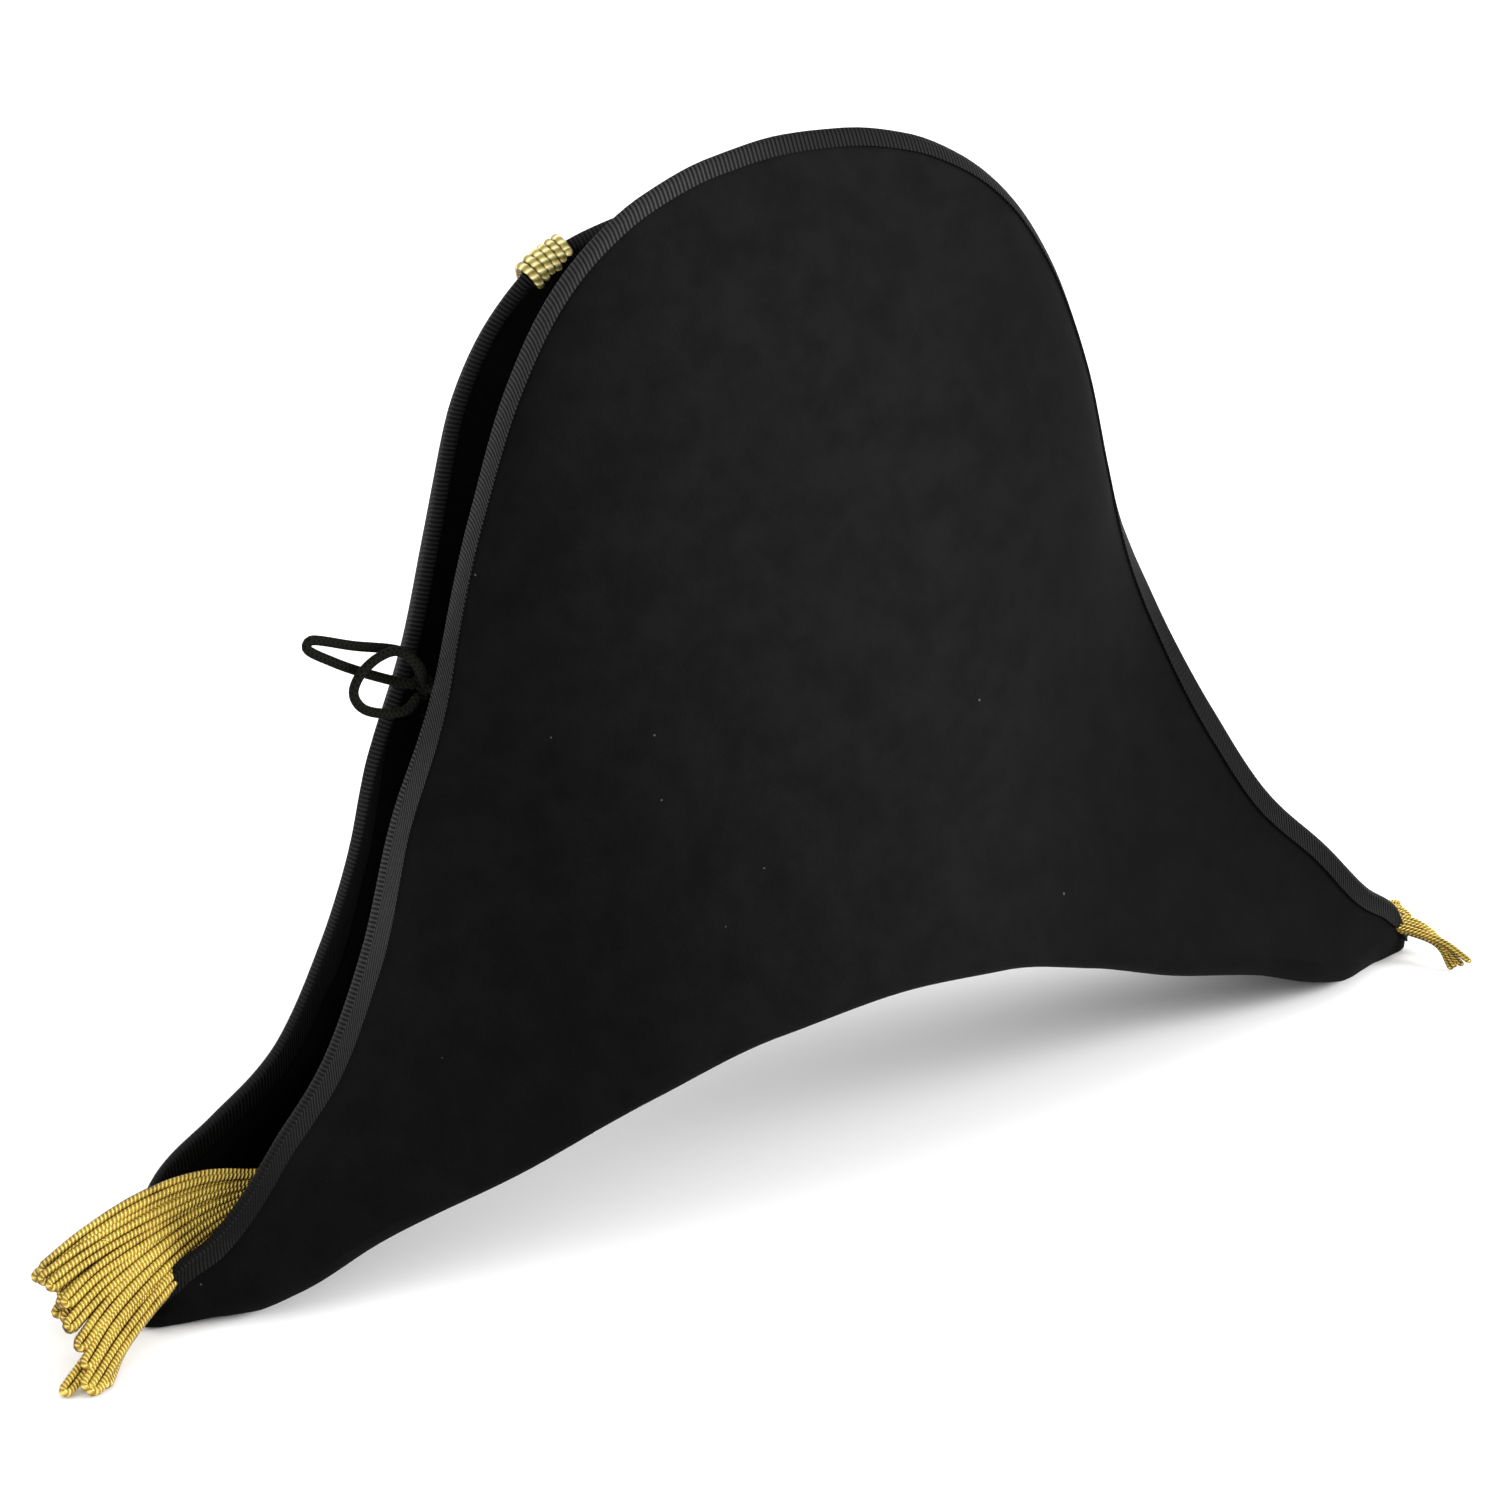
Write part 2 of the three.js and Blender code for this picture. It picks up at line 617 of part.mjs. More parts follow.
// A tassel: its tall head stands between the flaps and its locks fan out over the tip's end
function tasselGeometry(end, locks) {
  const root = HALF_LENGTH - TASSEL_INSET;
  const floor = Math.max(foldHeight(root), 0) + FELT + SEAM_GAP;
  const seat = floor + TASSEL_HEAD * 1.4;
  const radii = [0.3, 0.75, 0.95, 1, 1, 1, 0.62].map((share) => (share * LOCK_DIAMETER) / 2);
  const head = new THREE.SphereGeometry(TASSEL_HEAD / 2, 10, 8);
  head.rotateX(Math.PI / 2).scale(1.1, 1, 2.8).translate(end * root, 0, seat);
  const strands = locks.map(({ side, height, reach, lift }) => {
    const back = -side * TASSEL_REACH;
    const start = seat + TASSEL_HEAD * 0.75 * lift;
    const over = lift * TASSEL_REACH;
    const bow = (0.2 * lift - 0.15) * TASSEL_REACH;
    const out = HALF_LENGTH + reach * TASSEL_REACH;
    const points = [
      [root, 0, start],
      [root + TASSEL_INSET * 0.45, back * 0.1, (start + over) / 2 + bow],
      [HALF_LENGTH - 5, back * 0.27, over],
      [(HALF_LENGTH + out) / 2, back * 0.62, ((lift + height) / 2) * TASSEL_REACH],
      [out - 0.6, back, height * TASSEL_REACH],
    ].map(([x, y, z]) => new THREE.Vector3(end * x, y, z));
    return strandGeometry(points, radii, 6);
  });
  return fused([head, ...strands]);
}

// The lace: a knot on a bar that spans the two flaps, and a plain tube for each loop of its bow
function knotGeometry() {
  const reach = { back: 0, front: 0 };
  Object.keys(reach).forEach((flap) => {
    reach[flap] = HALF_GAP * gapShare(KNOT_HEIGHT / flapHeight[flap]) - FELT - 3 * SEAM_GAP;
  });
  const radius = LACE_DIAMETER / 2;
  const ends = [-reach.back, -reach.back / 2, 0, reach.front / 2, reach.front];
  const bar = strandGeometry(
    ends.map((y) => new THREE.Vector3(-KNOT_PLACE, y, KNOT_HEIGHT)),
    ends.map(() => radius),
    8,
  );
  const lump = new THREE.SphereGeometry(KNOT_DIAMETER / 2, 10, 8);
  lump.translate(-KNOT_PLACE, 0, KNOT_HEIGHT);
  return fused([bar, lump]);
}
function laceGeometry(rows, steps) {
  const sides = 8;
  const outline = new THREE.Shape();
  for (let s = 0; s < sides; s += 1) {
    const angle = (2 * Math.PI * s) / sides;
    const x = (LACE_DIAMETER / 2) * Math.cos(angle);
    const y = (LACE_DIAMETER / 2) * Math.sin(angle);
    if (s === 0) outline.moveTo(x, y);
    else outline.lineTo(x, y);
  }
  outline.closePath();
  const points = rows.map(({ out, up, side }, i) => {
    const away = new THREE.Vector3(-out, side, up).multiplyScalar(LACE_REACH);
    if (i === 0 || i === rows.length - 1) away.setLength(KNOT_DIAMETER / 2 + SEAM_GAP);
    return away.add(new THREE.Vector3(-KNOT_PLACE, 0, KNOT_HEIGHT));
  });
  const extrudePath = new THREE.CatmullRomCurve3(points);
  return new THREE.ExtrudeGeometry(outline, { steps, extrudePath, bevelEnabled: false });
}

const felt = () => new THREE.MeshStandardMaterial({ color: 0x1c1c1c, roughness: 0.95, metalness: 0 });
const ribbon = () => new THREE.MeshStandardMaterial({ color: 0x262626, roughness: 0.8, metalness: 0 });
const gold = () => new THREE.MeshStandardMaterial({ color: 0xb39a4e, roughness: 0.45, metalness: 0.6 });
const lace = () => new THREE.MeshStandardMaterial({ color: 0x151515, roughness: 0.7, metalness: 0 });
const hat = new THREE.Group();
hat.name = "hat";
function addPiece(name, geometry, finish) {
  geometry.translate(HAT_PLACE, 0, 0);
  const mesh = new THREE.Mesh(geometry, finish);
  mesh.name = name;
  hat.add(mesh);
}

addPiece("brim", brimGeometry(), felt());
addPiece("crown", crownGeometry(), felt());
addPiece("binding_back", bindingGeometry("back"), ribbon());
addPiece("binding_front", bindingGeometry("front"), ribbon());
addPiece("loop_cord", loopGeometry(), gold());
addPiece("tassel_left", tasselGeometry(-1, LEFT_LOCKS), gold());
addPiece("tassel_right", tasselGeometry(1, RIGHT_LOCKS), gold());
addPiece("lace_knot", knotGeometry(), lace());
addPiece("lace_long_loop", laceGeometry(LONG_LOOP, 22), lace());
addPiece("lace_short_loop", laceGeometry(SHORT_LOOP, 14), lace());

export default hat;
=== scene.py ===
"""Bicorne hat of black felt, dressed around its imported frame.

Sizes are in millimetres, and Builder.make turns them into metres. X runs from tip to tip, the back flap
is at -Y and Z is up. The felt's surface follows the same rules and sizes as the part's own source. The
shapes are made with x = 0 in the middle of the felt, and HAT_PLACE then moves them as it does there.
"""

import math
import random

import bmesh
import bpy
import numpy as np
from mathutils import Matrix, Vector


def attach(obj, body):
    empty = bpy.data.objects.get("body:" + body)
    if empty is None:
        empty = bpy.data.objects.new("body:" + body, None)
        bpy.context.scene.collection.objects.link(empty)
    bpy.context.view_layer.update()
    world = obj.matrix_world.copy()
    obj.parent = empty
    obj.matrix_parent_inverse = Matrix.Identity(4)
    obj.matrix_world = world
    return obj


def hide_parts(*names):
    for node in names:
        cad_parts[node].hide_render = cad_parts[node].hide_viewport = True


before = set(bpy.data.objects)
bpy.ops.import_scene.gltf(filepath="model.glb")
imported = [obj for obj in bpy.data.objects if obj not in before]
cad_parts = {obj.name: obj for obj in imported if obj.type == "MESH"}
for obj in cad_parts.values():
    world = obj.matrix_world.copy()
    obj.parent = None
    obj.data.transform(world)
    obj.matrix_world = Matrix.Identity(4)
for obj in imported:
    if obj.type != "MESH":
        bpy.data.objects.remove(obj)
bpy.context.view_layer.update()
MM = 0.001
FULL_TURN = 2 * math.pi

# Sizes of the felt, the opening and the crown
HALF_LENGTH = 225
HEIGHT = {"back": 322, "front": 299.5}
ARCH = 60
BULGE = 93
HALF_GAP = 20
FOLD_ROUND = 14
FELT = 2.5
SEAM_GAP = 0.3
HAT_PLACE = 9.5
OPENING_LENGTH = 204
RIM_STRIP = 5
CROWN_HEIGHT = 108
CROWN_SPACE = 1.5
CROWN_PEAK = 1
CROWN_SIDES = 120

# Blender's side: the distance in metres at which points are joined, and the angles that count as sharp
WELD = 2e-6
FELT_ANGLE = 50
ROUND_ANGLE = 80

# The back flap's edge dips before the left tip and then rises. Places are shares of HALF_LENGTH
TIP_DROOP = 2
DROOP_PLACE = 0.89
DROOP_HALF = 0.09
TIP_RISE = 3
RISE_START = 0.965

# Sizes of the binding, the gold loop, the lace and the tassels
BINDING_WIDTH = 5
BINDING_THICKNESS = 0.7
BINDING_COLUMNS = 6
MOST_COVERED = 0.6
RIBBON_LIP = 0.05
RIBBON_FOLD = 0.2
LOOP_CORDS = 6
LOOP_SEEN = 15.6
LOOP_SHIFT = 0.8
LOOP_END_GAP = 0.8
LOOP_LENGTH = 105
LOOP_POINT = 3.5
# Below zero, as the cords end a little above the flap's edge on its inner side
LOOP_TUCK = -1
LOOP_SLANT = 0.07
LOOP_PLACE = 61
BELOW_RIBBON = 12
LACE_DIAMETER = 3
LACE_REACH = 38
KNOT_PLACE = 0.5155 * HALF_LENGTH
KNOT_HEIGHT = 174
KNOT_DIAMETER = 8
TASSEL_HEAD = 13
TASSEL_INSET = 44
TASSEL_SEAT = 1.4 * TASSEL_HEAD
TASSEL_REACH = 30
STRAND_DIAMETER = 2.4
THIN_STRAND = 1.1

# Share of HALF_LENGTH, then the edges of the back and the front flap as shares of their heights
EDGE = np.array([
    (0, 1, 1),
    (0.1, 0.994, 0.994),
    (0.2, 0.974, 0.983),
    (0.275, 0.944, 0.964),
    (0.345, 0.898, 0.919),
    (0.41, 0.822, 0.842),
    (0.467, 0.708, 0.712),
    (0.525, 0.55, 0.597),
    (0.587, 0.443, 0.506),
    (0.658, 0.326, 0.318),
    (0.738, 0.226, 0.208),
    (0.827, 0.157, 0.158),
    (0.911, 0.089, 0.119),
    (0.969, 0.0555, 0.066),
    (0.986, 0.034, 0.041),
    (1, 0.0165, 0.02),
])
# Share of HALF_LENGTH, then the height of the fold as a share of ARCH
FOLD = np.array([
    (0, 1),
    (0.178, 0.92),
    (0.356, 0.7),
    (0.533, 0.415),
    (0.711, 0.18),
    (0.82, 0.008),
    (0.87, -0.045),
    (0.95, -0.055),
    (1, -0.03),
])
# Share of the flap's height, then bulge, gap and fullness as in the part's source
GIRTH = np.array([
    (0, 1, 0.38, 0.9),
    (0.15, 0.665, 0.97, 1.85),
    (0.3, 0.545, 0.8, 1.8),
    (0.45, 0.53, 0.43, 1.15),
    (0.6, 0.437, 0.5, 0.6),
    (0.75, 0.295, 0.72, 0.5),
    (0.9, 0.156, 0.82, 0.5),
    (1, 0, 0.82, 0.5),
])
# Share of CROWN_HEIGHT, then the crown's share of the opening's half sizes
CROWN = np.array([
    (0, 1),
    (0.25, 0.985),
    (0.5, 0.95),
    (0.72, 0.88),
    (0.88, 0.74),
    (0.97, 0.5),
    (1, 0.22),
])
# Strands of a tassel: side, height and reach of the end, and lift over the tip, from the top down
LEFT_FAN = np.array([
    (-0.05, 0.82, 0.95, 1.26),
    (0.08, 0.8, 1, 1.14),
    (0.2, 0.74, 1.02, 1.04),
    (0.4, 0.66, 1.02, 0.94),
    (0.6, 0.5, 1.02, 0.85),
    (0.78, 0.36, 1.03, 0.77),
    (0.95, 0.22, 1.07, 0.68),
    (1.12, 0.1, 1.1, 0.6),
    (1.18, 0.06, 1.06, 0.52),
])
LEFT_UNDER = np.array([
    (-0.3, 0.62, 0.88, 1),
    (0.1, 0.4, 0.88, 0.8),
    (0.5, 0.22, 0.86, 0.68),
    (0.9, 0.1, 0.84, 0.6),
])
LONG_STRAND = (1.03, 0.06, 1.29, 0.62)
RIGHT_FAN = np.array([
    (-0.05, 0.34, 0.2, 0.46),
    (0.05, 0.24, 0.25, 0.43),
    (0.4, 0.17, 0.31, 0.4),
    (0.5, 0.145, 0.29, 0.38),
    (1.1, 0.115, 0.29, 0.36),
    (1.0, 0.06, 0.13, 0.33),
])
# Loops of the lace: away from the knot toward the tip, up and to the front, in shares of LACE_REACH
LONG_LOOP = [
    (0.3, 0.9, 0.2),
    (0.06, 0.22, 0.07),
    (0.18, 0.325, 0.06),
    (0.57, 0.463, 0.06),
    (0.923, 0.595, 0.06),
    (0.954, 0.588, 0.06),
    (0.971, 0.561, 0.06),
    (0.964, 0.529, 0.06),
    (0.755, 0.375, 0.06),
    (0.575, 0.265, 0.06),
    (0.28, 0.105, 0.08),
    (0.85, 0.3, 0.25),
]
SHORT_LOOP = [
    (0.4, 0.75, -0.5),
    (0.14, 0.27, -0.14),
    (0.27, 0.39, -0.08),
    (0.43, 0.37, -0.06),
    (0.6, 0.26, -0.06),
    (0.66, 0.13, -0.06),
    (0.6, 0, -0.06),
    (0.43, -0.09, -0.06),
    (0.22, -0.11, -0.07),
    (0.85, -0.4, -0.3),
]

# Shared curves and surfaces


def hermite(t, a, slope_a, b, slope_b):
    """A cubic from a to b for t from 0 to 1, with the given slopes at its ends."""
    return (
        (2 * t**3 - 3 * t**2 + 1) * a
        + (t**3 - 2 * t**2 + t) * slope_a
        + (3 * t**2 - 2 * t**3) * b
        + (t**3 - t**2) * slope_b
    )


def run_length(line):
    """The length along a line of points, at each of them."""
    return np.append(0, np.cumsum(np.linalg.norm(np.diff(line, axis=0), axis=1)))


def arc(middle, first, second, angles):
    """Points round middle: first away from it at 0 degrees, second away from it at 90 degrees."""
    turns = np.radians(angles)
    return [middle + first * math.cos(turn) + second * math.sin(turn) for turn in turns]


def smooth(rows, column, start_flat):
    """A smooth curve through a table's column, which never overshoots its rows."""
    at = rows[:, 0].astype(float)
    value = rows[:, column].astype(float)
    secant = np.diff(value) / np.diff(at)
    slope = np.zeros(len(value))
    slope[0] = 0 if start_flat else secant[0]
    slope[-1] = secant[-1]
    before, after = secant[:-1], secant[1:]
    product = before * after
    total = np.where(before + after == 0, 1, before + after)
    slope[1:-1] = np.where(product <= 0, 0, 2 * product / total)

    def curve(x):
        x = np.clip(np.asarray(x, float), at[0], at[-1])
        i = np.clip(np.searchsorted(at, x) - 1, 0, len(at) - 2)
        width = at[i + 1] - at[i]
        t = (x - at[i]) / width
        return hermite(t, value[i], width * slope[i], value[i + 1], width * slope[i + 1])

    return curve


edge_share = {"back": smooth(EDGE, 1, True), "front": smooth(EDGE, 2, True)}
fold_share = smooth(FOLD, 1, True)
bulge_share = smooth(GIRTH, 1, False)
gap_share = smooth(GIRTH, 2, False)
fullness = smooth(GIRTH, 3, False)
crown_spread = smooth(CROWN, 1, False)
SIDE = {"back": -1, "front": 1}
FINE = np.linspace(0, HALF_LENGTH, 6001)
NEARLY = 1e-6


def edge_height(flap, x):
    place = np.abs(x) / HALF_LENGTH
    height = HEIGHT[flap] * edge_share[flap](place)
    if flap == "back":
        near_tip = np.clip(1 - ((place - DROOP_PLACE) / DROOP_HALF) ** 2, 0, 1) ** 2
        very_tip = np.clip((place - RISE_START) / (1 - RISE_START), 0, 1) ** 2
        height = height + np.where(x < 0, TIP_RISE * very_tip - TIP_DROOP * near_tip, 0)
    return height


def fold_height(x):
    return ARCH * fold_share(np.abs(x) / HALF_LENGTH)


EDGE_LINE = {flap: np.minimum.accumulate(edge_height(flap, FINE)) for flap in SIDE}


def edge_reach(flap, z):
    return np.interp(z, EDGE_LINE[flap][::-1], FINE[::-1])


def half_depth(flap, x, z):
    level = z / HEIGHT[flap]
    share = np.minimum(np.abs(x) / np.maximum(edge_reach(flap, z), 1), 1)
    bulge = BULGE * bulge_share(level) * np.maximum(1 - share**2, 0) ** fullness(level)
    return HALF_GAP * gap_share(level) + bulge


def fold_round(flap, x):
    return np.minimum(FOLD_ROUND, (edge_height(flap, x) - fold_height(x)) / 2)


OPEN_X = OPENING_LENGTH / 2
OPEN_Y = float(half_depth("front", 0.0, fold_height(0.0) + FOLD_ROUND)) - RIM_STRIP


def opening_width(x):
    return OPEN_Y * np.sqrt(np.maximum(0, 1 - (x / OPEN_X) ** 2))


def under_fold(flap, x, turn):
    tight = fold_round(flap, x)
    side = half_depth(flap, x, fold_height(x) + tight)
    start = np.arcsin(np.minimum(opening_width(x) / side, 1))
    angle = start + turn * (math.pi / 2 - start)
    z = fold_height(x) + tight * (1 - np.cos(angle))
    return np.stack([x + 0 * angle, SIDE[flap] * side * np.sin(angle), np.maximum(z, 0)], -1)


def on_wall(flap, x, rise):
    foot = fold_height(x) + fold_round(flap, x)
    z = foot + rise * (edge_height(flap, x) - foot)
    x = x + 0 * z
    return np.stack([x, SIDE[flap] * half_depth(flap, x, z), np.maximum(z, 0)], -1)


def unit(v):
    return v / np.maximum(np.linalg.norm(v, axis=-1, keepdims=True), 1e-9)


def cover_share(flap, x):
    """The share of the wall's height that the binding covers."""
    edge = on_wall(flap, x, np.ones_like(x))
    tangent = unit(on_wall(flap, x + 1, np.ones_like(x)) - on_wall(flap, x - 1, np.ones_like(x)))
    low = np.zeros_like(x)
    high = np.full_like(x, MOST_COVERED)
    for _ in range(20):
        middle = (low + high) / 2
        away = np.linalg.norm(np.cross(on_wall(flap, x, 1 - middle) - edge, tangent), axis=-1)
        low = np.where(away < BINDING_WIDTH, middle, low)
        high = np.where(away < BINDING_WIDTH, high, middle)
    return low


def stations():
    """Places along the hat: even over the opening, then by equal lengths of the back edge."""
    middle = OPEN_X * np.sin(np.linspace(0, math.pi / 2, 41))
    fine = np.linspace(OPEN_X, HALF_LENGTH, 4001)
    length = run_length(np.stack([fine, edge_height("back", fine)], -1))
    wing = np.interp(np.linspace(0, length[-1], 101)[1:], length, fine)
    half = np.append(middle, wing)
    return np.concatenate([-half[:0:-1], half])


X = stations()
TURNS = np.linspace(0, 1, 9)
RISES = np.linspace(0, 1, 44)[1:]
STRIP = np.linspace(1, 0, BINDING_COLUMNS)[1:]


def flap_grids(flap):
    """Outer points, inner points and normals. The last BINDING_COLUMNS lie under the binding."""
    cover = cover_share(flap, X)[:, None]
    x = X[:, None]
    outer = np.concatenate(
        [
            under_fold(flap, x, TURNS[None]),
            on_wall(flap, x, (1 - cover) * RISES[None]),
            on_wall(flap, x, 1 - cover * STRIP[None]),
        ],
        axis=1,
    )
    closed = np.abs(X) >= OPEN_X - NEARLY
    outer[closed, 0, 1] = 0
    along = np.gradient(outer, axis=0)
    across = np.gradient(outer, axis=1)
    normal = unit(np.cross(along, across)) * -SIDE[flap]
    inner = outer - FELT * normal
    inner[:, 0] = outer[:, 0] + np.array([0, 0, FELT])
    foot = len(TURNS) - 1
    for j in range(1, foot):
        turn = TURNS[j] * math.pi / 2
        share = np.array([1 - math.cos(turn), math.sin(turn), 1 - math.cos(turn)])
        inner[:, j] = inner[:, 0] + (inner[:, foot] - inner[:, 0]) * share
    return outer, inner, normal


GRIDS = {flap: flap_grids(flap) for flap in SIDE}


def add_object(name, data):
    made = bpy.data.objects.new(name, data)
    bpy.context.scene.collection.objects.link(made)
    return made


class Builder:
    """Gathers grids of points into one mesh, with UVs in millimetres."""

    def __init__(self):
        self.points, self.faces, self.uvs, self.count = [], [], [], 0

    def grid(self, points, flip=False, uv=None):
        n, m = points.shape[:2]
        index = self.count + np.arange(n * m).reshape(n, m)
        quads = np.stack([index[:-1, :-1], index[1:, :-1], index[1:, 1:], index[:-1, 1:]], -1)
        if uv is None:
            uv = np.zeros((n, m, 2))
        corners = np.stack([uv[:-1, :-1], uv[1:, :-1], uv[1:, 1:], uv[:-1, 1:]], -2)
        if flip:
            quads = quads[..., ::-1]
            corners = corners[..., ::-1, :]
        self.points.append(points.reshape(-1, 3))
        self.faces.append(quads.reshape(-1, 4))
        self.uvs.append(corners.reshape(-1, 2))
        self.count += n * m

    def make(self, name, material, nodes, angle=ROUND_ANGLE):
        """One piece of what was gathered. Edges sharper than angle are shown sharp."""
        mesh = bpy.data.meshes.new(name)
        points = (np.concatenate(self.points) + np.array([HAT_PLACE, 0, 0])) * MM
        mesh.from_pydata(points.tolist(), [], np.concatenate(self.faces).tolist())
        layer = mesh.uv_layers.new(name="UVMap")
        layer.data.foreach_set("uv", np.concatenate(self.uvs).astype(np.float32).ravel())
        mesh.polygons.foreach_set("use_smooth", np.ones(len(mesh.polygons), bool))
        mesh.materials.append(material)
        piece = add_object(name, mesh)
        bm = bmesh.new()
        bm.from_mesh(mesh)
        bmesh.ops.remove_doubles(bm, verts=bm.verts, dist=WELD)
        bm.to_mesh(mesh)
        bm.free()
        mesh.set_sharp_from_angle(angle=math.radians(angle))
        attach(piece, "root")
        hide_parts(*nodes)
        return piece


# Materials

# Painted light and shade on the felt, paler where more light falls: axis, metres where that starts and
# where it is full, and its share
FELT_PAINTED_LIGHT = [
    ("X", -0.095, -0.015, 0.35),
    ("Z", 0.2, 0.06, -0.2),
    ("X", 0.11, 0.03, 0.45),
    ("Y", -0.004, 0.004, 1),
]
FELT_LEAST_PAINTED_LIGHT = 0.2
FELT_GREYS = [(0.38, (0.0039, 0.0039, 0.0039)), (0.62, (0.0059, 0.0059, 0.006))]
LINT_GREY = 0.09
LINT_SIZE = 0.032
LINT_STRENGTH = 0.55
LINT_LEFT_OUT = 0.6
# Painted sheen on the ribbon, paler to the upper left of the near flap: axis, metres where that starts
# and where it is full, and what stays outside
RIBBON_PAINTED_SHEEN = [
    ("X", 0.03, -0.04, 0),
    ("Z", 0.03, 0.13, 0),
    ("Y", 0.003, -0.003, 0.4),
]
RIBBON_LEAST_PAINTED_SHEEN = 0.18
RIBBON_GREYS = [(0.12, (0.0015, 0.0015, 0.0015)), (0.9, (0.036, 0.036, 0.037))]
RIBBON_PITCH = 1.35
LACE_TONES = [(0.2, (0.0012, 0.0012, 0.0008)), (1, (0.006, 0.006, 0.0042))]
LACE_PITCH = 1.6
LACE_TURNS = 4
# Dark, middle and light tone of the gold strands of a tassel and of the gold loop
BULLION_TONES = [(0.05, 0.011, 0.001), (0.34, 0.21, 0.012), (0.7, 0.53, 0.11)]
LOOP_TONES = [(0.07, 0.03, 0.003), (0.42, 0.34, 0.08), (0.85, 0.78, 0.38)]
# Share of the gold's tone left in the painted shade along the sides where strands touch
GROOVE_PAINTED_SHADE = 0.2
# Sizes of noise, in waves per metre, and depths of relief in metres
PATCH_SCALE = 75
MOTTLE_SCALE = 160
FUZZ_SCALE = 900
FIBRE_SCALE = 2600
THREAD_SCALE = 1500
STREAK_SCALE = 110
GRAIN_SCALE = 700
LINT_SCALE = 75
FUZZ_DEPTH = 0.00018
FIBRE_DEPTH = 0.0001
RIB_DEPTH = 0.0005
THREAD_DEPTH = 0.0001
BRAID_DEPTH = 0.0003


class Look:
    """A material, with short words for the nodes behind its colour and relief."""

    def __init__(self, name):
        self.material = bpy.data.materials.new(name)
        self.material.use_nodes = True
        self.tree = self.material.node_tree
        self.tree.nodes.clear()
        output = self.tree.nodes.new("ShaderNodeOutputMaterial")
        self.shader = self.tree.nodes.new("ShaderNodeBsdfPrincipled")
        self.link(self.shader.outputs["BSDF"], output.inputs["Surface"])

    def link(self, start, end):
        self.tree.links.new(start, end)

    def node(self, kind, values=None, **settings):
        made = self.tree.nodes.new(kind)
        for key, value in settings.items():
            setattr(made, key, value)
        for key, value in (values or {}).items():
            made.inputs[key].default_value = value
        return made

    def work_out(self, operation, *values, clamp=False):
        """A math node. Each value is a number or a socket."""
        made = self.node("ShaderNodeMath", operation=operation, use_clamp=clamp)
        for i, value in enumerate(values):
            if isinstance(value, (int, float)):
                made.inputs[i].default_value = value
            else:
                self.link(value, made.inputs[i])
        return made.outputs[0]

    def plus(self, a, b, clamp=False):
        return self.work_out("ADD", a, b, clamp=clamp)

    def times(self, a, b):
        return self.work_out("MULTIPLY", a, b)

    def lifted(self, value, least):
        """A value from 0 to 1, brought to run from least to 1."""
        return self.plus(self.times(value, 1 - least), least)

    def blend(self, *parts):
        """The sum of pairs of socket and share."""
        total = self.times(*parts[0])
        for part in parts[1:]:
            total = self.plus(total, self.times(*part))
        return total

    def halved(self, value):
        """A value from -1 to 1, brought to run from 0 to 1."""
        return self.plus(self.times(value, 0.5), 0.5)

    def wave(self, value):
        """A sine of value, from 0 to 1."""
        return self.halved(self.work_out("SINE", value))

    def split(self, kind, output):
        made = self.node("ShaderNodeSeparateXYZ")
        self.link(self.node(kind).outputs[output], made.inputs["Vector"])
        return made.outputs

    def place(self):
        """X, Y and Z on the hat, in metres."""
        return self.split("ShaderNodeTexCoord", "Object")

    def strand(self):
        """X is the length along a strand in millimetres, and Y the turn round it."""
        return self.split("ShaderNodeUVMap", "UV")

    def span(self, value, start, stop):
        """0 at start, 1 at stop, with soft ends."""
        ends = {"From Min": start, "From Max": stop}
        made = self.node("ShaderNodeMapRange", ends, interpolation_type="SMOOTHSTEP")
        self.link(value, made.inputs["Value"])
        return made.outputs["Result"]

    def noise(self, scale, detail=2.0, rough=0.5):
        values = {"Scale": scale, "Detail": detail, "Roughness": rough}
        made = self.node("ShaderNodeTexNoise", values)
        self.link(self.node("ShaderNodeTexCoord").outputs["Object"], made.inputs["Vector"])
        return made.outputs["Fac"]

    def ramp(self, factor, stops):
        made = self.node("ShaderNodeValToRGB")
        elements = made.color_ramp.elements
        while len(elements) < len(stops):
            elements.new(0.5)
        for element, (place, color) in zip(elements, stops):
            element.position = place
            element.color = (*color, 1)
        self.link(factor, made.inputs["Fac"])
        return made.outputs["Color"]

    def mix(self, factor, a, b):
        """A colour between a and b, each a socket or three numbers."""
        made = self.node("ShaderNodeMix", data_type="RGBA")
        self.link(factor, made.inputs["Factor"])
        for key, value in (("A", a), ("B", b)):
            if isinstance(value, tuple):
                made.inputs[key].default_value = (*value, 1)
            else:
                self.link(value, made.inputs[key])
        return made.outputs["Result"]

    def bump(self, *layers):
        """Bump maps one after another: pairs of height socket and depth in metres."""
        last = None
        for height, depth in layers:
            made = self.node("ShaderNodeBump", {"Strength": 1.0, "Distance": depth})
            self.link(height, made.inputs["Height"])
            if last is not None:
                self.link(last, made.inputs["Normal"])
            last = made.outputs["Normal"]
        self.link(last, self.shader.inputs["Normal"])

    def finish(self, color, values):
        self.link(color, self.shader.inputs["Base Color"])
        for key, value in values.items():
            self.shader.inputs[key].default_value = value
        return self.material


def felt_tone(look):
    """Faint patches of black, with painted light and shade: darker to the left, to the right and toward
    the bottom, full tone in the middle and on the far flap.
    """
    patches = look.blend(
        (look.noise(PATCH_SCALE, 3), 0.6), (look.noise(MOTTLE_SCALE, 4, 0.7), 0.4)
    )
    place = look.place()
    # Painted light and shade: the felt's tone is lowered by place, where less light falls
    painted_light = look.blend(*(
        (look.span(place[axis], start, stop), share) for axis, start, stop, share in FELT_PAINTED_LIGHT
    ))
    painted_light = look.plus(painted_light, FELT_LEAST_PAINTED_LIGHT, clamp=True)
    return look.mix(painted_light, (0, 0, 0), look.ramp(patches, FELT_GREYS))


